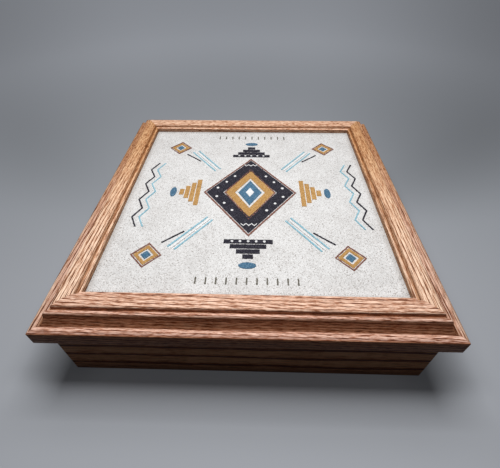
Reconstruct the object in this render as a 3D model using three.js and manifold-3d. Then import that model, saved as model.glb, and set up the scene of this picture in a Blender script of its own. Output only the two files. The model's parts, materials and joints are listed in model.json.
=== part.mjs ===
// A square oak box whose hinged lid is a mitred moulding round a sand-painted board.
// Millimetres, +Z up. The origin is the centre of the base, and the front of the box faces -Y.

import * as THREE from 'three';
import { mergeVertices } from 'three/addons/utils/BufferGeometryUtils.js';
import Module from 'manifold-3d';

const wasm = await Module();
wasm.setup();

// Driving dimensions of the lid
const boardSize = 203.2;
const boardThickness = 6.35;
const sightSize = 194;
const railWidth = 24;
const paintingDepth = 13.2;
const crestRise = 7.7;
const liningThickness = 3;
const lidFeltThickness = 1.2;

// Driving dimensions of the box
const bodySize = 230;
const wallHeight = 48;
const wallThickness = 10;
const panelThickness = 3;
const panelGrooveDepth = 4.3;
const panelGrooveFloor = 4;
const floorFeltThickness = 1.2;
const arrisRadius = 0.8;

// Driving dimensions of the two butt hinges
const hingeLength = 25.4;
const hingeSpacing = 130;
const leafReach = 9.5;
const leafThickness = 0.9;
const knuckleRadius = 1.6;
const knuckleCount = 5;
const knuckleGap = 0.2;
const pinRadius = 0.75;
const pinClearance = 0.1;
const pinSetback = 1.2;
const screwSpacing = 15;
const screwHeadRadius = 2;
const screwShankRadius = 1;
const screwLength = 9.5;
const screwTip = 0.4;
const slotWidth = 0.5;
const slotDepth = 0.45;

// Room left between neighbouring pieces
const gap = 0.3;

// Fineness of the round stretches
const arcSteps = 10;
const roundSides = 32;
const screwSides = 20;

// Values that follow from the driving dimensions
const sightHalf = sightSize / 2;
const bodyHalf = bodySize / 2;
const innerHalf = bodyHalf - wallThickness;
const lidUnderside = wallHeight + gap;
const paintingFace = lidUnderside + paintingDepth;
const rebateWidth = boardSize / 2 + gap - sightHalf;
const hingeY = bodyHalf + pinSetback;
const hingeZ = wallHeight + gap / 2;
const knucklePitch = hingeLength / knuckleCount;
const screwY = -leafReach / 2 - knuckleRadius / 2;

const oak = new THREE.MeshStandardMaterial({ color: 0xc48a66, roughness: 0.5, metalness: 0 });
const wallOak = new THREE.MeshStandardMaterial({ color: 0xb57c58, roughness: 0.55, metalness: 0 });
const sand = new THREE.MeshStandardMaterial({ color: 0xdedcd9, roughness: 0.95, metalness: 0 });
const hardboard = new THREE.MeshStandardMaterial({ color: 0x8a6242, roughness: 0.85, metalness: 0 });
const felt = new THREE.MeshStandardMaterial({ color: 0x23384f, roughness: 1, metalness: 0 });
const brass = new THREE.MeshStandardMaterial({ color: 0xc9a24e, roughness: 0.35, metalness: 1 });

// Turns a closed geometry into a solid that can be cut
function toSolid(geometry) {
  const bare = geometry.clone();
  bare.deleteAttribute('normal');
  bare.deleteAttribute('uv');
  const merged = mergeVertices(bare, 1e-5);
  return new wasm.Manifold(new wasm.Mesh({
    numProp: 3,
    vertProperties: new Float32Array(merged.attributes.position.array),
    triVerts: new Uint32Array(merged.index.array),
  }));
}

// Turns a solid back into a geometry
function toGeometry(solid) {
  const mesh = solid.getMesh();
  const geometry = new THREE.BufferGeometry();
  geometry.setAttribute('position', new THREE.BufferAttribute(new Float32Array(mesh.vertProperties), 3));
  geometry.setIndex(new THREE.BufferAttribute(new Uint32Array(mesh.triVerts), 1));
  geometry.computeVertexNormals();
  return geometry;
}

// A box given by its lowest and highest corners
function boxBetween(low, high) {
  const box = new THREE.BoxGeometry(high[0] - low[0], high[1] - low[1], high[2] - low[2]);
  box.translate((low[0] + high[0]) / 2, (low[1] + high[1]) / 2, (low[2] + high[2]) / 2);
  return box;
}

// A cylinder along X, centred on the pin's axis between two places
function rodAlongX(radius, fromX, toX) {
  const rod = new THREE.CylinderGeometry(radius, radius, toX - fromX, roundSides);
  rod.rotateZ(Math.PI / 2);
  rod.translate((fromX + toX) / 2, 0, 0);
  return rod;
}

// Section of the lid moulding. x runs out from the sight edge and y is height in the box.
function railSection() {
  const face = paintingFace;
  const crest = face + crestRise;
  const outer = railWidth;
  const section = new THREE.Shape();
  section.moveTo(0, face + gap);
  // The sight bead is a quarter round on a short upright face, with a quirk behind it
  section.lineTo(0, face + 2.7);
  section.bezierCurveTo(0, face + 3.7, 0.6, face + 4.3, 1.2, face + 4.3);
  section.quadraticCurveTo(2, face + 4.3, 2.25, face + 3.6);
  // The broad top rises from that quirk with a softened edge to its crest, and rolls over
  section.lineTo(2.5, face + 3.7);
  section.lineTo(3.1, face + 5.6);
  section.quadraticCurveTo(3.3, face + 6.3, 4, face + 6.5);
  section.bezierCurveTo(5.8, crest - 0.5, 8, crest, 10.5, crest);
  section.quadraticCurveTo(12, crest, 12.3, crest - 1);
  // A step down to the outer bead, which rounds over into the cove
  section.lineTo(12.5, face + 4.5);
  section.lineTo(13.1, face + 4.5);
  section.bezierCurveTo(13.3, face + 5.4, 14.9, face + 6, 15.6, face + 4.9);
  section.quadraticCurveTo(15.9, face + 4.3, 16, face + 3.6);
  // The steep cove sweeps down and out to the low rounded lip
  section.bezierCurveTo(16.1, face + 1.6, 16.9, face - 1.6, 18.8, face - 3.1);
  section.lineTo(19.1, face - 2.5);
  section.bezierCurveTo(19.5, face - 1.1, 22.2, face - 0.8, outer, face - 2.4);
  // The plain edge, eased at the bottom, and the underside back to the rebate
  section.lineTo(outer, lidUnderside + arrisRadius);
  section.absarc(outer - arrisRadius, lidUnderside + arrisRadius, arrisRadius, 0, -Math.PI / 2, true);
  section.lineTo(rebateWidth, lidUnderside);
  section.lineTo(rebateWidth, face + gap);
  section.closePath();
  return section;
}

// Section of a wall. x runs out from the inner face and y is height in the box.
function wallSection() {
  const grooveTop = panelGrooveFloor + panelThickness + 2 * gap;
  const easing = arrisRadius / 2;
  const outer = wallThickness;
  const section = new THREE.Shape();
  section.moveTo(0, 0);
  section.lineTo(outer - arrisRadius, 0);
  section.absarc(outer - arrisRadius, arrisRadius, arrisRadius, -Math.PI / 2, 0, false);
  section.lineTo(outer, wallHeight - easing);
  section.lineTo(outer - easing, wallHeight);
  section.lineTo(easing, wallHeight);
  section.lineTo(0, wallHeight - easing);
  section.lineTo(0, grooveTop);
  section.lineTo(panelGrooveDepth, grooveTop);
  section.lineTo(panelGrooveDepth, panelGrooveFloor);
  section.lineTo(0, panelGrooveFloor);
  section.closePath();
  return section;
}

// One side of a square frame: the section run along X on the front side, mitred at both ends.
// Each end point is moved along the run as far out as the section point lies from the centre.
function mitredSide(section, startHalf) {
  const run = new THREE.ExtrudeGeometry(section, { depth: 1, bevelEnabled: false, curveSegments: arcSteps });
  const position = run.attributes.position;
  const mitreGap = gap / Math.SQRT2;
  for (let i = 0; i < position.count; i += 1) {
    const out = startHalf + position.getX(i);
    const end = position.getZ(i) > 0.5 ? -1 : 1;
    position.setXYZ(i, end * (out - mitreGap), -out, position.getY(i));
  }
  return run;
}

// The four sides of a frame, turned to face front, right, back and left
function frameSides(prefix, geometry, material, cuts) {
  const names = ['front', 'right', 'back', 'left'];
  return names.map((name, quarter) => {
    const side = geometry.clone();
    side.rotateZ(quarter * Math.PI / 2);
    const cut = cuts[name];
    const shape = cut ? toGeometry(toSolid(side).subtract(cut)) : side;
    return node(`${prefix}_${name}`, shape, material);
  });
}

// A square slab lying between two heights
function slab(name, half, lowZ, highZ, material) {
  return node(name, boxBetween([-half, -half, lowZ], [half, half, highZ]), material);
}

// A named piece
function node(name, geometry, material) {
  const mesh = new THREE.Mesh(geometry, material);
  mesh.name = name;
  return mesh;
}

// Where knuckle number k starts and ends along the pin
function knuckleSpan(k) {
  const start = -hingeLength / 2 + k * knucklePitch;
  const first = k === 0 ? 0 : knuckleGap / 2;
  const last = k === knuckleCount - 1 ? 0 : knuckleGap / 2;
  return [start + first, start + knucklePitch - last];
}

// Hole and countersink for one screw, opening upwards at the leaf's face
function countersink(x) {
  const faceRadius = screwHeadRadius + gap;
  const cone = new THREE.CylinderGeometry(faceRadius + gap, faceRadius - leafThickness - gap,
    leafThickness + 2 * gap, screwSides);
  cone.rotateX(Math.PI / 2);
  cone.translate(x, screwY, -gap / 2 - leafThickness / 2);
  return toSolid(cone);
}

// One hinge leaf, lying below the joint's plane. Its own knuckles are odd or even ones.
function hingeLeaf(firstKnuckle) {
  const halfLength = hingeLength / 2;
  const plate = boxBetween([-halfLength, -leafReach, -gap / 2 - leafThickness], [halfLength, 0, -gap / 2]);
  let leaf = toSolid(plate);
  for (let k = 0; k < knuckleCount; k += 1) {
    const [start, end] = knuckleSpan(k);
    if (k % 2 === firstKnuckle) {
      leaf = leaf.add(toSolid(rodAlongX(knuckleRadius, start, end)));
    } else {
      const from = start - knuckleGap;
      const to = end + knuckleGap;
      leaf = leaf.subtract(toSolid(rodAlongX(knuckleRadius + gap, from, to)));
    }
  }
  const boreRadius = pinRadius + pinClearance;
  leaf = leaf.subtract(toSolid(rodAlongX(boreRadius, -hingeLength, hingeLength)));
  for (const x of [-screwSpacing / 2, screwSpacing / 2]) {
    leaf = leaf.subtract(countersink(x));
  }
  return toGeometry(leaf);
}

// The hinge pin, with slightly domed ends
function hingePin() {
  const half = hingeLength / 2;
  const dome = pinRadius / 3;
  const profile = [
    new THREE.Vector2(0, -half),
    new THREE.Vector2(pinRadius * 0.7, -half + dome * 0.3),
    new THREE.Vector2(pinRadius, -half + dome),
    new THREE.Vector2(pinRadius, half - dome),
    new THREE.Vector2(pinRadius * 0.7, half - dome * 0.3),
    new THREE.Vector2(0, half),
  ];
  const pin = new THREE.LatheGeometry(profile, roundSides);
  pin.rotateZ(-Math.PI / 2);
  return pin;
}

// A countersunk wood screw standing head up, with the middle of its slotted face at the origin
function woodScrew() {
  const coneDepth = screwHeadRadius - screwShankRadius;
  const profile = [
    new THREE.Vector2(0, -screwLength),
    new THREE.Vector2(screwShankRadius * 0.25, -screwLength + screwTip),
    new THREE.Vector2(screwShankRadius * 0.8, -screwLength * 0.7),
    new THREE.Vector2(screwShankRadius, -screwLength * 0.4),
    new THREE.Vector2(screwShankRadius, -coneDepth),
    new THREE.Vector2(screwHeadRadius, 0),
    new THREE.Vector2(0, 0),
  ];
  const body = new THREE.LatheGeometry(profile, screwSides);
  body.rotateX(Math.PI / 2);
  const slotReach = 2 * screwHeadRadius;
  const slot = boxBetween([-slotReach, -slotWidth / 2, -slotDepth], [slotReach, slotWidth / 2, slotDepth]);
  return toGeometry(toSolid(body).subtract(toSolid(slot)));
}

// What is let into the wood below the joint's plane for one leaf, its knuckles and its screws
function leafMortise() {
  const halfLength = hingeLength / 2 + gap;
  const floor = -gap / 2 - leafThickness - gap;
  let room = toSolid(boxBetween([-halfLength, -leafReach - gap, floor], [halfLength, 0, gap]));
  room = room.add(toSolid(rodAlongX(knuckleRadius + gap, -halfLength, halfLength)));
  for (const x of [-screwSpacing / 2, screwSpacing / 2]) {
    const depth = screwLength + gap;
    const radius = screwShankRadius + gap;
    const pilot = new THREE.CylinderGeometry(radius, radius, depth, screwSides);
    pilot.rotateX(Math.PI / 2);
    pilot.translate(x, screwY, -gap / 2 - depth / 2);
    room = room.add(toSolid(pilot));
  }
  return room;
}

// Everything let into the wood on one side of the joint: up is 1 for the lid and -1 for the box
function hingeCuts(up) {
  const places = [-hingeSpacing / 2, hingeSpacing / 2].map((x) => {
    const room = leafMortise();
    const turned = up > 0 ? room.rotate([0, 180, 0]) : room;
    return turned.translate([x, hingeY, hingeZ]);
  });
  return places[0].add(places[1]);
}

// A piece of hinge hardware, set at its hinge and turned over for the lid
function placeAtHinge(mesh, hingeX, up) {
  mesh.position.set(hingeX, hingeY, hingeZ);
  mesh.rotation.y = up > 0 ? Math.PI : 0;
  return mesh;
}

// One complete hinge
function hinge(side, hingeX) {
  const pieces = [
    placeAtHinge(node(`hinge_${side}_box_leaf`, hingeLeaf(0), brass), hingeX, -1),
    placeAtHinge(node(`hinge_${side}_lid_leaf`, hingeLeaf(1), brass), hingeX, 1),
    placeAtHinge(node(`hinge_${side}_pin`, hingePin(), brass), hingeX, -1),
  ];
  for (const [carrier, up] of [['box', -1], ['lid', 1]]) {
    [-screwSpacing / 2, screwSpacing / 2].forEach((x, index) => {
      const screw = woodScrew();
      screw.translate(x, screwY, -gap / 2 - pinClearance);
      const mesh = node(`hinge_${side}_${carrier}_screw_${index + 1}`, screw, brass);
      pieces.push(placeAtHinge(mesh, hingeX, up));
    });
  }
  return pieces;
}

// The lid's rim and the boards and felt in its rebate, from the painting down
function lidPieces() {
  const boardHalf = boardSize / 2;
  const boardBottom = paintingFace - boardThickness;
  const liningTop = boardBottom - gap;
  const feltTop = liningTop - liningThickness - gap;
  return [
    ...frameSides('lid_rail', mitredSide(railSection(), sightHalf), oak, { back: hingeCuts(1) }),
    slab('sand_painting_board', boardHalf, boardBottom, paintingFace, sand),
    slab('lid_lining_board', boardHalf, liningTop - liningThickness, liningTop, hardboard),
    slab('lid_felt', boardHalf, feltTop - lidFeltThickness, feltTop, felt),
  ];
}

// The walls, the bottom panel in their grooves, and the felt on it
function boxPieces() {
  const panelHalf = innerHalf + panelGrooveDepth - gap;
  const panelBottom = panelGrooveFloor + gap;
  const panelTop = panelBottom + panelThickness;
  const feltBottom = panelTop + gap;
  return [
    ...frameSides('wall', mitredSide(wallSection(), innerHalf), wallOak, { back: hingeCuts(-1) }),
    slab('bottom_panel', panelHalf, panelBottom, panelTop, hardboard),
    slab('floor_felt', innerHalf - gap, feltBottom, feltBottom + floorFeltThickness, felt),
  ];
}

const woodenBox = new THREE.Group();
woodenBox.add(...boxPieces(), ...lidPieces());
woodenBox.add(...hinge('left', -hingeSpacing / 2), ...hinge('right', hingeSpacing / 2));

export default woodenBox;
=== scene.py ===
import json
import math

import bmesh
import bpy
from mathutils import Matrix, Vector

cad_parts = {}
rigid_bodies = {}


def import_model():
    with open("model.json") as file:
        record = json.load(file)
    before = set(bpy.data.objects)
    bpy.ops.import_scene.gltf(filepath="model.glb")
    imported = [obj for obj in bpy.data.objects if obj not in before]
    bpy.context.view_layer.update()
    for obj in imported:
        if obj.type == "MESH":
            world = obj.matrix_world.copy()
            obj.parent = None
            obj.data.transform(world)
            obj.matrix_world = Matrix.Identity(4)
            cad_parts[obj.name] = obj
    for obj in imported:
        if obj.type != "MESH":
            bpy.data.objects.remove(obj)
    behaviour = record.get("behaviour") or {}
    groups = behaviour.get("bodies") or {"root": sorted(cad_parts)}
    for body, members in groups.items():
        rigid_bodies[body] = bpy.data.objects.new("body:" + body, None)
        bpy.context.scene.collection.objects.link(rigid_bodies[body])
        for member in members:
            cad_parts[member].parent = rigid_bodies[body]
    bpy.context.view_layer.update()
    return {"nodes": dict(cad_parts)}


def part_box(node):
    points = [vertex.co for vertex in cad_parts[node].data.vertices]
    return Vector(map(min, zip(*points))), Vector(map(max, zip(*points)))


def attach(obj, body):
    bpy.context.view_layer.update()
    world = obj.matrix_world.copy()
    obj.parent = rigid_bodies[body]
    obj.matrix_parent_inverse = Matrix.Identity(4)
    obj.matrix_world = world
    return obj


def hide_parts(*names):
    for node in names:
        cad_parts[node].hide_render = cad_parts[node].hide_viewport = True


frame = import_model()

# the frame and the places on it are in metres; the pieces' own small sizes are in millimetres
mm = 0.001
print("frame loaded:", len(frame["nodes"]), "nodes")


# small helpers for selecting and modelling

def leaveEditMode():
    if bpy.context.object and bpy.context.object.mode != "OBJECT":
        bpy.ops.object.mode_set(mode="OBJECT")


def makeActive(piece):
    leaveEditMode()
    bpy.ops.object.select_all(action="DESELECT")
    piece.select_set(True)
    bpy.context.view_layer.objects.active = piece


def openMesh(piece):
    makeActive(piece)
    bpy.ops.object.mode_set(mode="EDIT")
    bpy.ops.mesh.select_mode(type="FACE")
    bpy.ops.mesh.select_all(action="DESELECT")


# selects what passes the test in the mesh that is open for editing; kind is VERT, EDGE or FACE
def pick(kind, test):
    mesh = bpy.context.edit_object.data
    bpy.ops.mesh.select_mode(type=kind)
    bpy.ops.mesh.select_all(action="DESELECT")
    shape = bmesh.from_edit_mesh(mesh)
    rows = {"VERT": shape.verts, "EDGE": shape.edges, "FACE": shape.faces}[kind]
    found = [row for row in rows if test(row)]
    for row in found:
        row.select_set(True)
    shape.select_flush_mode()
    bmesh.update_edit_mesh(mesh)
    return len(found)


def emptyPiece(name):
    leaveEditMode()
    piece = bpy.data.objects.new(name, bpy.data.meshes.new(name))
    bpy.context.scene.collection.objects.link(piece)
    return piece


# a copy of a CAD node's mesh with its loose triangles joined up, to be worked on as a piece of its own
def mergedCopy(nodeName, name):
    leaveEditMode()
    piece = bpy.data.objects.new(name, frame["nodes"][nodeName].data.copy())
    piece.data.materials.clear()
    bpy.context.scene.collection.objects.link(piece)
    openMesh(piece)
    bpy.ops.mesh.select_all(action="SELECT")
    bpy.ops.mesh.remove_doubles(threshold=0.004 * mm)
    bpy.ops.mesh.customdata_custom_splitnormals_clear()
    bpy.ops.mesh.select_all(action="SELECT")
    bpy.ops.mesh.dissolve_limited(angle_limit=math.radians(0.4))
    leaveEditMode()
    return piece


def applyModifier(piece, kind, **values):
    makeActive(piece)
    made = piece.modifiers.new(kind.title(), kind)
    for key, value in values.items():
        setattr(made, key, value)
    bpy.ops.object.modifier_apply(modifier=made.name)


def bevelEdges(piece, width, degrees, segments=1):
    applyModifier(piece, "BEVEL", width=width * mm, segments=segments, limit_method="ANGLE",
                  angle_limit=math.radians(degrees))


def smoothByAngle(piece, degrees):
    makeActive(piece)
    bpy.ops.object.shade_smooth_by_angle(angle=math.radians(degrees))


def finishPiece(piece, body, slot, material, *replaced):
    piece.data.materials.clear()
    piece.data.materials.append(material)
    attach(piece, body)
    if replaced:
        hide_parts(*replaced)


# small helpers for materials

def shade(red, green, blue):
    def straight(value):
        value = value / 255
        return value / 12.92 if value <= 0.04045 else ((value + 0.055) / 1.055) ** 2.4
    return (straight(red), straight(green), straight(blue), 1.0)


def newMaterial(name):
    material = bpy.data.materials.new(name)
    material.use_nodes = True
    tree = material.node_tree
    tree.nodes.clear()
    shader = tree.nodes.new("ShaderNodeBsdfPrincipled")
    output = tree.nodes.new("ShaderNodeOutputMaterial")
    tree.links.new(shader.outputs[0], output.inputs[0])
    return material, tree, shader


# adds a node; a socket among the inputs is linked and anything else is set
def put(tree, kind, inputs, **settings):
    node = tree.nodes.new("ShaderNode" + kind)
    for key, value in settings.items():
        setattr(node, key, value)
    for key, value in inputs.items():
        if isinstance(value, bpy.types.NodeSocket):
            tree.links.new(value, node.inputs[key])
        else:
            node.inputs[key].default_value = value
    return node


def calc(tree, operation, first, second=0.0, third=0.0):
    return put(tree, "Math", {0: first, 1: second, 2: third}, operation=operation).outputs[0]


def ownPlace(tree):
    return put(tree, "TexCoord", {}).outputs["Object"]


# a piece's own coordinates in millimetres, shifted and turned as wanted
def millimetres(tree, objectPlace, shift=(0, 0, 0), turn=0.0):
    return put(tree, "Mapping", {
        "Vector": objectPlace, "Location": shift, "Scale": (1 / mm, 1 / mm, 1 / mm),
        "Rotation": (0, 0, math.radians(turn)),
    }).outputs[0]


def stretch(tree, vector, size):
    scale = tuple(1 / part for part in size)
    return put(tree, "VectorMath", {0: vector, 1: scale}, operation="MULTIPLY").outputs[0]


def cloud(tree, vector, size, detail=2.0, roughness=0.5):
    return put(tree, "TexNoise", {"Vector": stretch(tree, vector, size), "Scale": 1.0,
                                  "Detail": detail, "Roughness": roughness})


def cells(tree, vector, size):
    return put(tree, "TexVoronoi", {"Vector": stretch(tree, vector, size), "Scale": 1.0})


def ease(tree, value, low, high, start=0.0, end=1.0):
    return put(tree, "MapRange", {0: value, 1: low, 2: high, 3: start, 4: end},
               interpolation_type="SMOOTHSTEP").outputs[0]


def blendColour(tree, factor, first, second, way="MIX"):
    return put(tree, "Mix", {0: factor, 6: first, 7: second},
               data_type="RGBA", blend_type=way).outputs[2]


def ramp(tree, value, stops):
    node = put(tree, "ValToRGB", {0: value})
    edge = node.color_ramp.elements
    while len(edge) < len(stops):
        edge.new(0.5)
    for element, (place, colour) in zip(edge, stops):
        element.position = place
        element.color = colour
    return node.outputs[0]


def bump(tree, height, depth, strength=1.0):
    return put(tree, "Bump", {"Height": height, "Distance": depth, "Strength": strength}).outputs[0]


# studio

studio = {
    "lampPlace": (0.0, -0.015, 0.5), "lampAim": (0, 0, 0.05), "lampSize": (0.25, 0.18), "lampPower": 2.5,
    "worldLight": 0.04,
    "cameraPlace": (0.00560, -0.20463, 0.23264), "cameraLens": 23.616,
    "cameraPitch": 41.64, "cameraTurn": 1.76, "cameraRoll": -0.45,
    "cameraShift": (0.0016, -0.0626),
}


def makeCamera():
    data = bpy.data.cameras.new("camera")
    data.sensor_width = 36
    data.lens = studio["cameraLens"]
    data.shift_x, data.shift_y = studio["cameraShift"]
    data.clip_start, data.clip_end = 0.01, 30
    camera = bpy.data.objects.new("camera", data)
    turn = Matrix.Rotation(math.radians(studio["cameraTurn"]), 4, "Z")
    tilt = Matrix.Rotation(math.radians(90 - studio["cameraPitch"]), 4, "X")
    roll = Matrix.Rotation(math.radians(studio["cameraRoll"]), 4, "Z")
    camera.matrix_world = Matrix.Translation(studio["cameraPlace"]) @ turn @ tilt @ roll
    bpy.context.scene.collection.objects.link(camera)
    bpy.context.scene.camera = camera


def makeLights():
    data = bpy.data.lights.new("overheadLight", "AREA")
    data.shape = "RECTANGLE"
    data.size, data.size_y = studio["lampSize"]
    data.energy = studio["lampPower"]
    lamp = bpy.data.objects.new("overheadLight", data)
    place = Vector(studio["lampPlace"])
    lamp.location = place
    lamp.rotation_euler = (Vector(studio["lampAim"]) - place).to_track_quat("-Z", "Y").to_euler()
    bpy.context.scene.collection.objects.link(lamp)
    world = bpy.data.worlds.new("studioWorld")
    bpy.context.scene.world = world
    world.use_nodes = True
    background = world.node_tree.nodes["Background"]
    background.inputs["Color"].default_value = (1, 1, 1, 1)
    background.inputs["Strength"].default_value = studio["worldLight"]


floorLook = {
    "radius": 2.4, "bend": 1.2, "bendSteps": 10, "wallHeight": 2.6,
    "nearColour": shade(164, 167, 173), "farColour": shade(156, 160, 166),
    "leftShare": 0.72, "rightShare": 0.58,
    # what the floor gives back as light, and the light of its own that it shows
    "bounceColour": shade(80, 81, 83), "glowColour": shade(130, 133, 139),
    "glowReach": (0.13, 0.7), "frontFill": 0.165, "sideFill": 0.12,
    # the shade painted beside the box and in front of it, and the distances over which each fades
    "sideShade": 0.4, "sideReach": (0.132, 0.17), "sideEnds": (0.115, 0.13),
    "frontShade": 0.18, "frontStart": (-0.144, -0.13), "frontStop": (-0.168, -0.143),
    "frontEnds": (0.1, 0.17),
}


def floorMaterial():
    material, tree, shader = newMaterial("studioGrey")
    # paler in front than behind and to the sides, most of all to the right
    place = ownPlace(tree)
    split = put(tree, "SeparateXYZ", {0: place}).outputs
    away = put(tree, "VectorMath", {0: place}, operation="LENGTH").outputs["Value"]
    outward = calc(tree, "DIVIDE", split[0], calc(tree, "MAXIMUM", calc(tree, "ADD", split[1], 0.3), 0.2))
    left = ease(tree, outward, -0.8, -0.25, floorLook["leftShare"], 1.0)
    right = ease(tree, outward, 0.1, 0.7, 1.0, floorLook["rightShare"])
    heading = calc(tree, "DIVIDE", split[1], away)
    behind = ease(tree, heading, 0.1, 0.6)
    loss = calc(tree, "SUBTRACT", calc(tree, "MULTIPLY", left, right), 1.0)
    sides = calc(tree, "MULTIPLY_ADD", loss, behind, 1.0)
    far = ease(tree, heading, -0.45, 0.5)
    plain = blendColour(tree, far, floorLook["nearColour"], floorLook["farColour"])
    # the shade is deeper beside the box and ends more slowly in front of it than the one lamp makes it
    across = calc(tree, "ABSOLUTE", split[0])
    along = calc(tree, "ABSOLUTE", split[1])
    beside = ease(tree, across, *floorLook["sideReach"], floorLook["sideShade"], 0.0)
    beside = calc(tree, "MULTIPLY", beside, ease(tree, along, *floorLook["sideEnds"], 1.0, 0.0))
    before = ease(tree, split[1], *floorLook["frontStart"], floorLook["frontShade"], 0.0)
    before = calc(tree, "MULTIPLY", before, ease(tree, split[1], *floorLook["frontStop"]))
    before = calc(tree, "MULTIPLY", before, ease(tree, across, *floorLook["frontEnds"], 1.0, 0.0))
    shaded = calc(tree, "SUBTRACT", sides, calc(tree, "ADD", beside, before))
    seen = put(tree, "VectorMath", {0: plain, "Scale": shaded}, operation="SCALE").outputs[0]
    # the floor gives back less light than it shows, so that the front of the box stays in shade
    rays = put(tree, "LightPath", {}).outputs
    mirrored = calc(tree, "ADD", rays["Is Glossy Ray"], rays["Is Transmission Ray"])
    shown = calc(tree, "ADD", rays["Is Camera Ray"], mirrored)
    tree.links.new(blendColour(tree, shown, floorLook["bounceColour"], seen), shader.inputs["Base Color"])
    # the backdrop glows evenly where the lamp's light no longer reaches, and a little in the shadow too
    fill = ease(tree, heading, -0.8, -0.7, floorLook["frontFill"], floorLook["sideFill"])
    glow = calc(tree, "MULTIPLY", ease(tree, away, *floorLook["glowReach"], fill, 1.0), sides)
    shader.inputs["Emission Color"].default_value = floorLook["glowColour"]
    tree.links.new(calc(tree, "MULTIPLY", glow, shown), shader.inputs["Emission Strength"])
    shader.inputs["Roughness"].default_value = 0.9
    shader.inputs["Specular IOR Level"].default_value = 0.1
    return material


# a round floor that curves up into its own backdrop, its rim drawn out ring by ring
def makeFloor():
    floor = emptyPiece("floor")
    openMesh(floor)
    radius, bend, steps = floorLook["radius"], floorLook["bend"], floorLook["bendSteps"]
    bpy.ops.mesh.primitive_circle_add(vertices=96, radius=radius, fill_type="NGON", location=(0, 0, 0))
    bpy.ops.mesh.inset(thickness=radius / 6)
    quarter = [math.pi / 2 * i / steps for i in range(steps + 1)]
    rings = [(bend * math.sin(angle), bend * (1 - math.cos(angle))) for angle in quarter]
    for (out0, up0), (out1, up1) in zip(rings, rings[1:]):
        pick("EDGE", lambda edge: edge.is_boundary)
        bpy.ops.mesh.extrude_edges_move(TRANSFORM_OT_translate={"value": (0, 0, up1 - up0)})
        grow = (radius + out1) / (radius + out0)
        bpy.ops.transform.resize(value=(grow, grow, 1), center_override=(0, 0, 0))
    pick("EDGE", lambda edge: edge.is_boundary)
    bpy.ops.mesh.extrude_edges_move(TRANSFORM_OT_translate={"value": (0, 0, floorLook["wallHeight"])})
    pick("FACE", lambda face: True)
    bpy.ops.mesh.normals_make_consistent(inside=True)
    smoothByAngle(floor, 40)
    floor.data.materials.append(floorMaterial())


makeCamera()
makeLights()
makeFloor()
print("studio ready")


# oak

oakLook = {
    "line": shade(78, 40, 24), "brown": shade(142, 90, 62), "warm": shade(196, 142, 110),
    "tan": shade(222, 176, 146), "cream": shade(250, 214, 186), "pore": shade(96, 54, 36),
    "fleck": shade(150, 98, 66), "fleckSize": (4.5, 1.0), "fleckShare": 0.85,
    "orange": (0.8, 0.665, 0.475, 1), "foot": (0.78, 0.6, 0.52, 1), "footHeight": 0.014,
    "middle": 0.49, "roughness": 0.4,
    # the sizes of the grain's slow drift, its ripple and its wavy fibres, in millimetres
    "drift": (110, 34, 34), "ripple": (26, 7, 7), "wander": (14, 3.2, 3.2),
    # from where to where along the box, in metres, the look changes from its front to its back
    "ringFade": (-0.05, 0.05), "calmFade": (-0.07, 0.1), "poreFade": (-0.105, -0.01),
    "fleckFade": (-0.03, 0.06), "orangeFade": (-0.085, 0.075),
    # the grain's contrast and the pores' depth, each at the front and at the back of the box
    "contrast": (1.18, 0.62), "poreDepth": (0.75, 0.52),
    # painted shade along the moulding's profile: on the outer edge, the lip's rise, the cove and the
    # quirk
    "edge": shade(222, 190, 168), "lipRise": shade(210, 196, 190),
    "coveLow": shade(177, 153, 135), "cove": shade(199, 173, 153), "coveTop": shade(246, 220, 198),
    "quirk": shade(208, 182, 160),
}
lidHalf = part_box("lid_rail_right")[1].x
railWidth = 0.024


def grey(value):
    return (value, value, value, 1.0)


# long thin cells along the grain, each with a tone of its own: gives a mask of strokes and their tone
def strokes(tree, vector, size, share, sharp):
    length, width = size
    found = cells(tree, vector, (length, width, width))
    tone = put(tree, "SeparateColor", {0: found.outputs[1]}).outputs
    here = calc(tree, "LESS_THAN", tone[0], share)
    body = ease(tree, found.outputs[0], 0.5, 0.5 - sharp)
    return calc(tree, "MULTIPLY", calc(tree, "MULTIPLY", body, here), ease(tree, tone[1], -0.2, 1.0))
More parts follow.
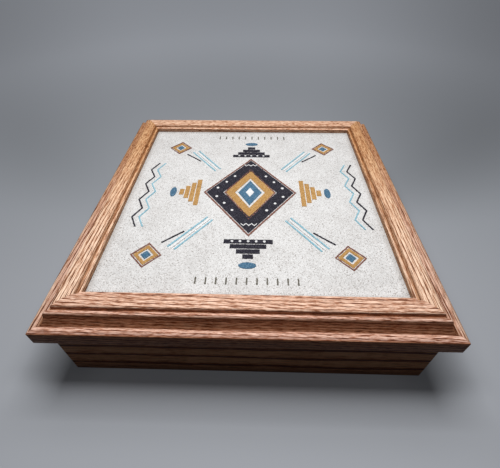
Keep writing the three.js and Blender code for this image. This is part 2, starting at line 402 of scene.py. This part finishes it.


# one board of oak: the grain runs along X, or along Y where turned, and shift moves it, in millimetres;
# slant turns the grain a little off the board's length and tilt stands the rings up, both in degrees;
# marks and pores are the length and width of the streaks and the pores, in millimetres, and tint
# multiplies the colour;
# the moulding colours are the painted shade on the outer arris, the lip, the groove and the inner edge,
# and the painted highlight on the sight bead;
# pale lightens the board, and far is how much calmer its far end's grain is and how much oranger its far
# end is painted, standing in for the paler sheen on the near end
def oakMaterial(name, shift, turned, slant, tilt, ringWidth, ringLine, wave, marks, pores, tint, gloss,
                profileLightAndShade=None, pale=0.0, far=0.0):
    material, tree, shader = newMaterial(name)
    objectPlace = ownPlace(tree)
    grain = millimetres(tree, objectPlace, shift, slant + (-90 if turned else 0))
    # the rings drift slowly along the board, with a tighter ripple; their early wood is a dark line
    drift = cloud(tree, grain, oakLook["drift"], 1.0).outputs[0]
    ripple = cloud(tree, grain, oakLook["ripple"], 2.0).outputs[0]
    split = put(tree, "SeparateXYZ", {0: grain}).outputs
    slope = math.radians(tilt)
    across = calc(tree, "MULTIPLY", split[1], math.sin(slope))
    depth = calc(tree, "MULTIPLY_ADD", split[2], math.cos(slope), across)
    drifted = calc(tree, "MULTIPLY_ADD", drift, wave * 6, depth)
    rippled = calc(tree, "MULTIPLY_ADD", ripple, wave, drifted)
    phase = calc(tree, "FRACT", calc(tree, "DIVIDE", rippled, ringWidth))
    early = ramp(tree, phase, [(0.0, grey(0.4)), (0.04, grey(1)), (0.13, grey(1)), (0.25, grey(0.3)),
                               (0.42, grey(0)), (0.95, grey(0)), (1.0, grey(0.4))])
    # wavy fibres: brown strokes and cream ones between them, some long and some short
    wander = cloud(tree, grain, oakLook["wander"], 1.0).outputs[1]
    sway = put(tree, "VectorMath", {0: wander, 1: (0, wave * 1.4, wave * 1.4), 2: grain},
               operation="MULTIPLY_ADD").outputs[0]
    length, width = marks
    fine = cloud(tree, sway, (length, width, width), 2.0, 0.6).outputs[0]
    broad = cloud(tree, sway, (length * 5, width * 4, width * 4), 1.0).outputs[0]
    figure = calc(tree, "MULTIPLY_ADD", broad, 0.06, calc(tree, "SUBTRACT", fine, 0.03 - 0.06 * ringLine))
    # the figure is calmer towards the back of the box, and a side board's rings fade out there
    local = put(tree, "SeparateXYZ", {0: objectPlace}).outputs
    ringDepth = -0.3 * ringLine
    rings = ease(tree, local[1], *oakLook["ringFade"], ringDepth, ringDepth * (1 - 0.75 * far))
    figure = calc(tree, "MULTIPLY_ADD", early, rings, figure)
    spread = ease(tree, local[1], *oakLook["calmFade"], *oakLook["contrast"])
    middle = oakLook["middle"]
    figure = calc(tree, "MULTIPLY_ADD", calc(tree, "SUBTRACT", figure, middle), spread, middle + pale)
    wood = ramp(tree, figure, [(0.2, oakLook["line"]), (0.38, oakLook["brown"]), (0.465, oakLook["warm"]),
                               (0.52, oakLook["tan"]), (0.6, oakLook["cream"])])
    # open pores, most of them in the early wood, and fainter towards the back of the box
    poreLength, poreWidth = pores
    large = strokes(tree, sway, (poreLength, poreWidth),
                    calc(tree, "MULTIPLY_ADD", early, 0.4, 0.16), 0.25)
    small = strokes(tree, sway, (poreLength * 0.45, poreWidth * 0.6),
                    calc(tree, "MULTIPLY_ADD", early, 0.3, 0.2), 0.25)
    pore = calc(tree, "MAXIMUM", large, calc(tree, "MULTIPLY", small, 0.7))
    filled = ease(tree, local[1], *oakLook["poreFade"], *oakLook["poreDepth"])
    filled = calc(tree, "MULTIPLY", pore, filled)
    holed = blendColour(tree, filled, wood, oakLook["pore"])
    # short flecks show towards the back of the box
    fleck = strokes(tree, grain, oakLook["fleckSize"], oakLook["fleckShare"], 0.2)
    fleck = calc(tree, "MULTIPLY", fleck, ease(tree, local[1], *oakLook["fleckFade"]))
    flecked = blendColour(tree, fleck, holed, oakLook["fleck"])
    tinted = blendColour(tree, 1.0, flecked, tint, "MULTIPLY")
    # painted light: the far end of a side board is made a warmer orange than the near end, standing in
    # for the paler sheen on the near end
    orange = blendColour(tree, 1.0, tinted, oakLook["orange"], "MULTIPLY")
    woodWithPaintedLight = blendColour(tree, ease(tree, local[1], *oakLook["orangeFade"], 0.0, far), tinted, orange)
    if profileLightAndShade:
        arris, lip, groove, sight, inner = profileLightAndShade
        # painted shade and light along the profile: darker on the outer edge, in the cove, the steps, the
        # groove and on the inner edge, a little darker on the outer lip, and lighter on the sight bead;
        # places are shares of the rail's width, from the lid's outer edge inwards
        fromEdge = calc(tree, "SUBTRACT", lidHalf, calc(tree, "ABSOLUTE", local[0 if turned else 1]))
        paintedLightAndShade = ramp(tree, calc(tree, "DIVIDE", fromEdge, railWidth), [
            (0.0, oakLook["edge"]), (0.01, oakLook["edge"]), (0.03, arris), (0.1, lip),
            (0.15, lip), (0.185, oakLook["lipRise"]), (0.208, oakLook["coveLow"]),
            (0.25, oakLook["coveLow"]), (0.283, oakLook["cove"]), (0.312, oakLook["coveTop"]),
            (0.335, oakLook["coveTop"]), (0.36, lip),
            (0.44, lip), (0.455, oakLook["quirk"]), (0.48, oakLook["quirk"]), (0.5, grey(1)),
            (0.862, grey(1)), (0.878, groove), (0.926, groove), (0.942, sight),
            (0.988, sight), (0.996, inner),
        ])
        woodWithPaintedLight = blendColour(tree, 1.0, woodWithPaintedLight, paintedLightAndShade, "MULTIPLY")
    else:
        # the walls are darker near the ground
        footed = blendColour(tree, 1.0, woodWithPaintedLight, oakLook["foot"], "MULTIPLY")
        woodWithPaintedLight = blendColour(tree, ease(tree, local[2], 0.0, oakLook["footHeight"], 1.0, 0.0), woodWithPaintedLight, footed)
    tree.links.new(woodWithPaintedLight, shader.inputs["Base Color"])
    dull = calc(tree, "MULTIPLY_ADD", pore, 0.25, oakLook["roughness"])
    tree.links.new(dull, shader.inputs["Roughness"])
    shader.inputs["Specular IOR Level"].default_value = gloss
    relief = calc(tree, "MULTIPLY_ADD", pore, -1.0, fine)
    tree.links.new(bump(tree, relief, 0.12 * mm, 0.7), shader.inputs["Normal"])
    return material


lidBoards = {
    "lid_rail_front": dict(
        shift=(40, 0, 0), turned=False, slant=1.2, tilt=50, ringWidth=1.7, ringLine=0.5, wave=0.6,
        marks=(6.5, 0.32), pores=(4.5, 0.34), tint=(0.98, 0.965, 1.015, 1), gloss=0.06,
        profileLightAndShade=(shade(222, 212, 216), shade(250, 246, 250), grey(1), grey(1), grey(1))),
    "lid_rail_right": dict(
        shift=(300, 60, 9), turned=True, slant=-0.7, tilt=38, ringWidth=0.9, ringLine=0.6, wave=0.18,
        marks=(9, 0.3), pores=(5, 0.34), tint=(0.985, 1.03, 1.05, 1), gloss=0.06,
        profileLightAndShade=(grey(1), shade(236, 228, 232), shade(222, 206, 188), grey(1.03), shade(206, 192, 176)),
        pale=0.012, far=1.0),
    "lid_rail_back": dict(
        shift=(610, 20, 31), turned=False, slant=1.0, tilt=60, ringWidth=2.2, ringLine=0.6, wave=0.6,
        marks=(5.5, 0.4), pores=(4, 0.34), tint=(1, 1, 1, 1), gloss=0.06,
        profileLightAndShade=(grey(1), grey(0.85), shade(196, 182, 170), grey(1.25), shade(180, 172, 166)),
        pale=0.026),
    "lid_rail_left": dict(
        shift=(910, 90, 55), turned=True, slant=2.6, tilt=42, ringWidth=1.75, ringLine=0.74, wave=0.22,
        marks=(9, 0.34), pores=(6, 0.3), tint=(1.01, 1.06, 1.09, 1), gloss=0.06,
        profileLightAndShade=(grey(1), shade(228, 218, 220), shade(222, 206, 188), grey(1.08), shade(206, 192, 176)),
        pale=0.014, far=1.0),
}
# painted shade: the walls' tint makes their oak darker and redder than the lid's, as it looks in the
# shade under the lid
wallLook = dict(slant=0.0, wave=0.35, marks=(14, 0.5), pores=(5, 0.4),
                tint=(0.98, 0.73, 0.55, 1), gloss=0.05)
boxBoards = {
    "wall_front": dict(wallLook, shift=(70, 200, 5), turned=False, tilt=72, ringWidth=3.6, ringLine=1.2),
    "wall_right": dict(wallLook, shift=(410, 260, 14), turned=True, tilt=70, ringWidth=4.0, ringLine=1.0),
    "wall_back": dict(wallLook, shift=(720, 320, 23), turned=False, tilt=74, ringWidth=4.4, ringLine=1.0),
    "wall_left": dict(wallLook, shift=(150, 380, 32), turned=True, tilt=71, ringWidth=3.8, ringLine=1.0),
}
mitre = {"closeUp": 0.19, "arris": 0.1, "endsFrom": 50}


# a mitred board: its ends are drawn out until the mitres all but touch, and its arrises are eased
def makeBoard(nodeName, look, body, slot):
    board = mergedCopy(nodeName, nodeName + "_oak")
    openMesh(board)
    along = 1 if look["turned"] else 0
    for side in (-1, 1):
        pick("VERT", lambda vert: vert.co[along] * side > mitre["endsFrom"] * mm)
        reach = [0, 0, 0]
        reach[along] = side * mitre["closeUp"] * mm
        bpy.ops.transform.translate(value=reach)
    bevelEdges(board, mitre["arris"], 38)
    smoothByAngle(board, 34)
    finishPiece(board, body, slot, oakMaterial(nodeName + "_oak", **look), nodeName)


for nodeName, look in lidBoards.items():
    makeBoard(nodeName, look, "lid", "lid_oak")
for nodeName, look in boxBoards.items():
    makeBoard(nodeName, look, "box", "wall_oak")
print("oak boards ready")


# sand

sandLook = {
    "grain": 0.42, "speck": 0.8, "patch": 14, "roughness": 0.85, "rim": shade(222, 220, 218),
    "ground": shade(218, 217, 216), "groundDark": shade(136, 127, 120),
    "groundPale": shade(244, 243, 242),
}


def sandMaterial(name, colour, dark, pale, darkShare=0.17, paleShare=0.3, shadedRim=False):
    material, tree, shader = newMaterial(name)
    objectPlace = ownPlace(tree)
    place = millimetres(tree, objectPlace)
    grain = cells(tree, place, (sandLook["grain"],) * 3)
    chance = put(tree, "SeparateColor", {0: grain.outputs[1]}).outputs[0]
    speck = cells(tree, place, (sandLook["speck"],) * 3)
    speckChance = put(tree, "SeparateColor", {0: speck.outputs[1]}).outputs[1]
    mixed = ramp(tree, chance, [(0.0, dark), (darkShare, colour), (1 - paleShare, colour), (1.0, pale)])
    isSpeck = calc(tree, "MULTIPLY", calc(tree, "LESS_THAN", speckChance, 0.05),
                   ease(tree, speck.outputs[0], 0.6, 0.3))
    spotted = blendColour(tree, calc(tree, "MULTIPLY", isSpeck, 0.45), mixed, dark)
    patch = cloud(tree, place, (sandLook["patch"],) * 3, 3.0).outputs[0]
    uneven = blendColour(tree, ease(tree, patch, 0.35, 0.7, 0.0, 0.12), spotted, dark)
    if shadedRim:
        # painted shade: the ground is a little darker where it meets the frame, where the rails shade it
        split = put(tree, "SeparateXYZ", {0: objectPlace}).outputs
        out = calc(tree, "MAXIMUM", calc(tree, "ABSOLUTE", split[0]), calc(tree, "ABSOLUTE", split[1]))
        rimmed = blendColour(tree, 1.0, uneven, sandLook["rim"], "MULTIPLY")
        uneven = blendColour(tree, ease(tree, out, 0.0925, 0.097), uneven, rimmed)
    tree.links.new(uneven, shader.inputs["Base Color"])
    shader.inputs["Roughness"].default_value = sandLook["roughness"]
    shader.inputs["Specular IOR Level"].default_value = 0.25
    relief = calc(tree, "SUBTRACT", 1.0, grain.outputs[0])
    tree.links.new(bump(tree, relief, 0.16 * mm, 0.8), shader.inputs["Normal"])
    return material


sandBoard = {"cells": 110, "roll": 0.12, "rollSize": 9.0, "flatRim": 1.0}


# the board with its glued ground of sand, gently uneven on top
def makeSandBoard():
    low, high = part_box("sand_painting_board")
    size = high - low
    piece = emptyPiece("sand_board")
    openMesh(piece)
    bpy.ops.mesh.primitive_cube_add(size=1, location=(low + high) / 2, scale=size)
    pick("FACE", lambda face: face.normal.z > 0.9)
    bpy.ops.mesh.subdivide(number_cuts=sandBoard["cells"] - 1)
    leaveEditMode()
    inner = size.x / 2 - sandBoard["flatRim"] * mm
    onTop = [vert for vert in piece.data.vertices if vert.co.z > high.z - 0.01 * mm]
    rolled = [vert.index for vert in onTop if abs(vert.co.x) < inner and abs(vert.co.y) < inner]
    group = piece.vertex_groups.new(name="top")
    group.add(rolled, 1.0, "REPLACE")
    waves = bpy.data.textures.new("groundRoll", "CLOUDS")
    waves.noise_scale = sandBoard["rollSize"] * mm
    waves.noise_depth = 2
    applyModifier(piece, "DISPLACE", texture=waves, texture_coords="LOCAL", direction="Z",
                  mid_level=0.5, strength=sandBoard["roll"] * mm, vertex_group="top")
    piece.vertex_groups.clear()
    smoothByAngle(piece, 30)
    tones = (sandLook["ground"], sandLook["groundDark"], sandLook["groundPale"])
    material = sandMaterial("groundSand", *tones, shadedRim=True)
    finishPiece(piece, "lid", "sand", material, "sand_painting_board")


makeSandBoard()
print("sand board ready")


# the design: flat shapes of one colour each, drawn in millimetres from the board's centre

drawing = {
    # how deep a layer starts, how high it stands, the second layer's rise and the longest edge in it
    "sink": 0.12, "height": 0.42, "rise": 0.2, "longest": 1.3, "bevel": 0.12,
    "jitter": 0.34, "jitterSize": 0.9,
    # where the stairs start, the corner diamonds' centres, and the side zigzags' reach and swing
    "stairs": 53, "cornerX": 68, "cornerY": 66, "zigzags": 40, "swing": 2.6,
}
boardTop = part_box("sand_painting_board")[1].z


def at(x, y):
    return (x * mm, y * mm, 0)


def bar(x, y, width, height, turn=0.0):
    bpy.ops.mesh.primitive_plane_add(size=mm, location=at(x, y))
    bpy.ops.transform.resize(value=(width, height, 1), center_override=at(x, y))
    bpy.ops.transform.rotate(value=-math.radians(turn), orient_axis="Z", center_override=at(x, y))


def line(x0, y0, x1, y1, thick):
    length = math.hypot(x1 - x0, y1 - y0)
    turn = math.degrees(math.atan2(y1 - y0, x1 - x0))
    bar((x0 + x1) / 2, (y0 + y1) / 2, length, thick, turn)


def oval(x, y, halfWidth, halfHeight, corners=14):
    bpy.ops.mesh.primitive_circle_add(vertices=corners, radius=mm, fill_type="NGON", location=at(x, y))
    bpy.ops.transform.resize(value=(halfWidth, halfHeight, 1), center_override=at(x, y))


def diamond(x, y, halfWidth, halfHeight):
    oval(x, y, halfWidth, halfHeight, 4)


# an outline: the shape just drawn is inset, and its middle taken out
def hollow(thick):
    bpy.ops.mesh.inset(thickness=thick * mm)
    bpy.ops.mesh.delete(type="FACE")


# a ribbon that runs from point to point: a point is drawn out to the ribbon's end edge, and that edge is
# drawn on from corner to corner
def ribbon(points, thick, upright):
    bpy.ops.mesh.select_mode(type="VERT")
    bpy.ops.mesh.primitive_plane_add(size=mm, location=at(*points[0]))
    bpy.ops.mesh.merge(type="CENTER")
    across = at(thick, 0) if upright else at(0, thick)
    bpy.ops.mesh.extrude_region_move(TRANSFORM_OT_translate={"value": across})
    bpy.ops.mesh.select_more()
    for (x0, y0), (x1, y1) in zip(points, points[1:]):
        bpy.ops.mesh.extrude_region_move(TRANSFORM_OT_translate={"value": at(x1 - x0, y1 - y0)})
    bpy.ops.mesh.select_mode(type="FACE")


# a ribbon that swings to and fro across a line, which runs up the board or across it
def zigzag(centre, low, high, steps, swing, thick, upright):
    gap = (high - low) / steps
    points = [(low + gap * i, centre + swing * (-1 if i % 2 else 1)) for i in range(steps + 1)]
    if upright:
        points = [(y, x) for x, y in points]
    ribbon(points, thick, upright)


def longZigzag(x, thick):
    zigzag(x, -drawing["zigzags"], drawing["zigzags"], 8, drawing["swing"], thick, True)


corners = [(-1, -1), (1, -1), (1, 1), (-1, 1)]


def cornerDiamonds(half, thick=None):
    for sideX, sideY in corners:
        diamond(sideX * drawing["cornerX"], sideY * drawing["cornerY"], half, half)
        if thick:
            hollow(thick)


def drawBlack():
    diamond(0, 0, 35.2, 45.2)
    hollow(10.5)
    for way in (-1, 1):
        for step in range(4):
            bar(0, way * (drawing["stairs"] + 4.4 * step), 34 - 9 * step, 3.6)
        longZigzag(way * 86, 1.3)
    for sideX, sideY in corners:
        line(sideX * 46, sideY * 44, sideX * 60, sideY * 55, 1.1)


def drawOchre():
    diamond(0, 0, 19.4, 29.5)
    hollow(6.0)
    for side in (-1, 1):
        for step in range(4):
            bar(side * (42.5 + 4.4 * step), 0, 3.6, 32 - 8.4 * step)
    cornerDiamonds(8.5, 2.2)


def drawRedBrown():
    diamond(0, 0, 37.6, 48.2)
    hollow(1.2)
    diamond(0, 0, 20.9, 31.8)
    hollow(0.9)
    cornerDiamonds(10.6, 0.9)


def drawBlue():
    for way in (-1, 1):
        oval(0, way * 73.5, 6.0, 2.6)
        oval(way * 62.5, 0, 2.6, 6.0)
    diamond(0, 0, 9.5, 15.5)
    cornerDiamonds(3.6)


def drawTurquoise():
    for way in (-1, 1):
        longZigzag(way * 80.5, 1.1)
    for sideX, sideY in corners:
        line(sideX * 27, sideY * 32, sideX * 50, sideY * 61, 1.1)
        line(sideX * 31, sideY * 29, sideX * 55, sideY * 58.6, 1.1)


def drawWhite():
    for way in (-1, 1):
        zigzag(way * 37.2, -6, 6, 6, 1.0, 0.9, False)
        for step in range(3):
            oval(way * (26.5 - 6.6 * step), 5.4 + 8.0 * step, 1.1, 1.1, 10)
            oval(way * (26.5 - 6.6 * step), -5.4 - 8.0 * step, 1.1, 1.1, 10)
        for step in range(5):
            oval((step - 2) * 5.6, way * drawing["stairs"], 0.9, 0.9, 10)
    diamond(0, 0, 3.4, 5.6)
    for sideX, sideY in corners:
        line(sideX * 29, sideY * 30.6, sideX * 52.5, sideY * 59.8, 1.0)


def drawGrey():
    for way in (-1, 1):
        for step in range(11):
            line((step - 5) * 6.4, way * 83, (step - 5) * 6.4, way * 88, 1.0)


paints = {
    "sand_black": dict(draw=drawBlack, layer=0,
                       tones=(shade(38, 36, 46), shade(20, 19, 26), shade(84, 82, 92))),
    "sand_ochre": dict(draw=drawOchre, layer=0,
                       tones=(shade(186, 142, 84), shade(128, 92, 50), shade(216, 180, 128))),
    "sand_redbrown": dict(draw=drawRedBrown, layer=0,
                          tones=(shade(128, 84, 72), shade(88, 54, 46), shade(170, 130, 116))),
    "sand_blue": dict(draw=drawBlue, layer=0,
                      tones=(shade(72, 110, 138), shade(46, 76, 98), shade(128, 158, 178))),
    "sand_turquoise": dict(draw=drawTurquoise, layer=0,
                           tones=(shade(138, 188, 204), shade(92, 142, 160), shade(190, 220, 230))),
    "sand_white": dict(draw=drawWhite, layer=1,
                       tones=(shade(236, 236, 236), shade(190, 190, 190), shade(250, 250, 250))),
    "sand_grey": dict(draw=drawGrey, layer=0,
                      tones=(shade(106, 102, 92), shade(70, 66, 58), shade(150, 146, 136))),
}


# each colour is poured on as a thin raised layer with a grainy edge
def pourSand(name, paint):
    piece = emptyPiece(name)
    openMesh(piece)
    paint["draw"]()
    pick("FACE", lambda face: True)
    bpy.ops.mesh.quads_convert_to_tris()
    longest = drawing["longest"] * mm
    while pick("EDGE", lambda edge: edge.calc_length() > longest):
        bpy.ops.mesh.subdivide(number_cuts=1)
        pick("FACE", lambda face: len(face.verts) > 3)
        bpy.ops.mesh.quads_convert_to_tris()
    pick("FACE", lambda face: True)
    bpy.ops.mesh.normals_make_consistent(inside=False)
    pick("FACE", lambda face: face.normal.z < 0)
    bpy.ops.mesh.flip_normals()
    lift = boardTop + (drawing["rise"] * paint["layer"] - drawing["sink"]) * mm
    pick("VERT", lambda vert: True)
    bpy.ops.transform.translate(value=(0, 0, lift))
    leaveEditMode()
    grains = bpy.data.textures.new(name + "Grains", "CLOUDS")
    grains.cloud_type = "COLOR"
    grains.noise_scale = drawing["jitterSize"] * mm
    grains.noise_depth = 1
    applyModifier(piece, "DISPLACE", texture=grains, texture_coords="LOCAL", direction="RGB_TO_XYZ",
                  mid_level=0.5, strength=drawing["jitter"] * mm)
    applyModifier(piece, "SOLIDIFY", thickness=(drawing["height"] + drawing["sink"]) * mm, offset=1)
    bevelEdges(piece, drawing["bevel"], 60)
    smoothByAngle(piece, 50)
    finishPiece(piece, "lid", "sand", sandMaterial(name, *paint["tones"], 0.25, 0.25))


for name, paint in paints.items():
    pourSand(name, paint)
print("sand design ready")


# felts

felt = {"cells": 40, "unevenness": 0.25, "rumple": 18, "edge": 0.25, "fuzzSize": 0.7, "wornSize": 22,
        "colour": shade(36, 56, 92), "dark": shade(20, 34, 62), "fuzz": shade(92, 114, 150)}


def feltMaterial():
    material, tree, shader = newMaterial("blueFelt")
    place = millimetres(tree, ownPlace(tree))
    fuzz = cloud(tree, place, (felt["fuzzSize"],) * 3, 4.0, 0.7).outputs[0]
    wear = cloud(tree, place, (felt["wornSize"],) * 3, 3.0).outputs[0]
    base = ramp(tree, fuzz, [(0.3, felt["dark"]), (0.55, felt["colour"]), (0.75, felt["fuzz"])])
    worn = blendColour(tree, ease(tree, wear, 0.4, 0.7, 0.0, 0.3), base, felt["dark"])
    tree.links.new(worn, shader.inputs["Base Color"])
    shader.inputs["Roughness"].default_value = 0.95
    shader.inputs["Specular IOR Level"].default_value = 0.15
    shader.inputs["Sheen Weight"].default_value = 0.35
    shader.inputs["Sheen Roughness"].default_value = 0.6
    tree.links.new(bump(tree, fuzz, 0.35 * mm, 0.7), shader.inputs["Normal"])
    return material


feltBlue = feltMaterial()


def makeFelt(nodeName, body):
    low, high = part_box(nodeName)
    size = high - low
    piece = emptyPiece(nodeName + "_cloth")
    openMesh(piece)
    centre = ((low.x + high.x) / 2, (low.y + high.y) / 2, low.z)
    bpy.ops.mesh.primitive_plane_add(size=size.x, location=centre)
    bpy.ops.mesh.subdivide(number_cuts=felt["cells"] - 1)
    leaveEditMode()
    rumple = bpy.data.textures.new(nodeName + "Rumple", "CLOUDS")
    rumple.noise_scale = felt["rumple"] * mm
    applyModifier(piece, "SOLIDIFY", thickness=size.z - felt["unevenness"] * mm, offset=1)
    group = piece.vertex_groups.new(name="nap")
    middle = low.z + size.z / 2
    group.add([vert.index for vert in piece.data.vertices if vert.co.z > middle], 1.0, "REPLACE")
    applyModifier(piece, "DISPLACE", texture=rumple, texture_coords="LOCAL", direction="Z",
                  mid_level=0.5, strength=felt["unevenness"] * mm, vertex_group="nap")
    piece.vertex_groups.clear()
    bevelEdges(piece, felt["edge"], 60, segments=2)
    smoothByAngle(piece, 50)
    finishPiece(piece, body, "felt", feltBlue, nodeName)


makeFelt("floor_felt", "box")
makeFelt("lid_felt", "lid")
print("felts ready")


# hardboard panels and brass hinges

hardboardLook = {"edge": 0.25, "dark": shade(84, 58, 38), "brown": shade(122, 86, 58),
                 "pale": shade(156, 118, 84), "roughness": 0.62}
brassLook = {"edge": 0.06, "dull": shade(176, 136, 72), "gold": shade(212, 174, 104),
             "bright": shade(226, 192, 124)}


def hardboardMaterial():
    material, tree, shader = newMaterial("hardboardBrown")
    place = millimetres(tree, ownPlace(tree))
    fibres = cloud(tree, place, (2.2, 0.5, 0.5), 4.0, 0.65).outputs[0]
    crossed = cloud(tree, place, (0.6, 2.4, 0.6), 4.0, 0.65).outputs[0]
    both = calc(tree, "MULTIPLY_ADD", fibres, 0.5, calc(tree, "MULTIPLY", crossed, 0.5))
    base = ramp(tree, both, [(0.36, hardboardLook["dark"]), (0.5, hardboardLook["brown"]),
                             (0.64, hardboardLook["pale"])])
    tree.links.new(base, shader.inputs["Base Color"])
    shader.inputs["Roughness"].default_value = hardboardLook["roughness"]
    tree.links.new(bump(tree, both, 0.1 * mm, 0.5), shader.inputs["Normal"])
    return material


def brassMaterial():
    material, tree, shader = newMaterial("rolledBrass")
    place = millimetres(tree, ownPlace(tree))
    tarnish = cloud(tree, place, (3.5, 3.5, 3.5), 4.0, 0.6).outputs[0]
    brushed = cloud(tree, place, (9, 0.12, 0.12), 2.0).outputs[0]
    base = ramp(tree, tarnish, [(0.35, brassLook["dull"]), (0.55, brassLook["gold"]),
                                (0.75, brassLook["bright"])])
    tree.links.new(base, shader.inputs["Base Color"])
    shader.inputs["Metallic"].default_value = 1.0
    tree.links.new(ease(tree, tarnish, 0.35, 0.7, 0.42, 0.24), shader.inputs["Roughness"])
    tree.links.new(bump(tree, brushed, 0.01 * mm, 0.4), shader.inputs["Normal"])
    return material


hardboard = hardboardMaterial()
brass = brassMaterial()

for nodeName, body in (("bottom_panel", "box"), ("lid_lining_board", "lid")):
    panel = mergedCopy(nodeName, nodeName + "_cut")
    bevelEdges(panel, hardboardLook["edge"], 40)
    smoothByAngle(panel, 30)
    finishPiece(panel, body, "hardboard", hardboard, nodeName)

for nodeName in frame["nodes"]:
    if not nodeName.startswith("hinge_"):
        continue
    body = "lid" if "_lid_" in nodeName else "box"
    part = mergedCopy(nodeName, nodeName + "_brass")
    bevelEdges(part, brassLook["edge"], 40)
    smoothByAngle(part, 32)
    finishPiece(part, body, "brass", brass, nodeName)
print("panels and hinges ready")


# view settings

leaveEditMode()
bpy.ops.object.select_all(action="DESELECT")
bpy.context.scene.view_settings.view_transform = "Standard"
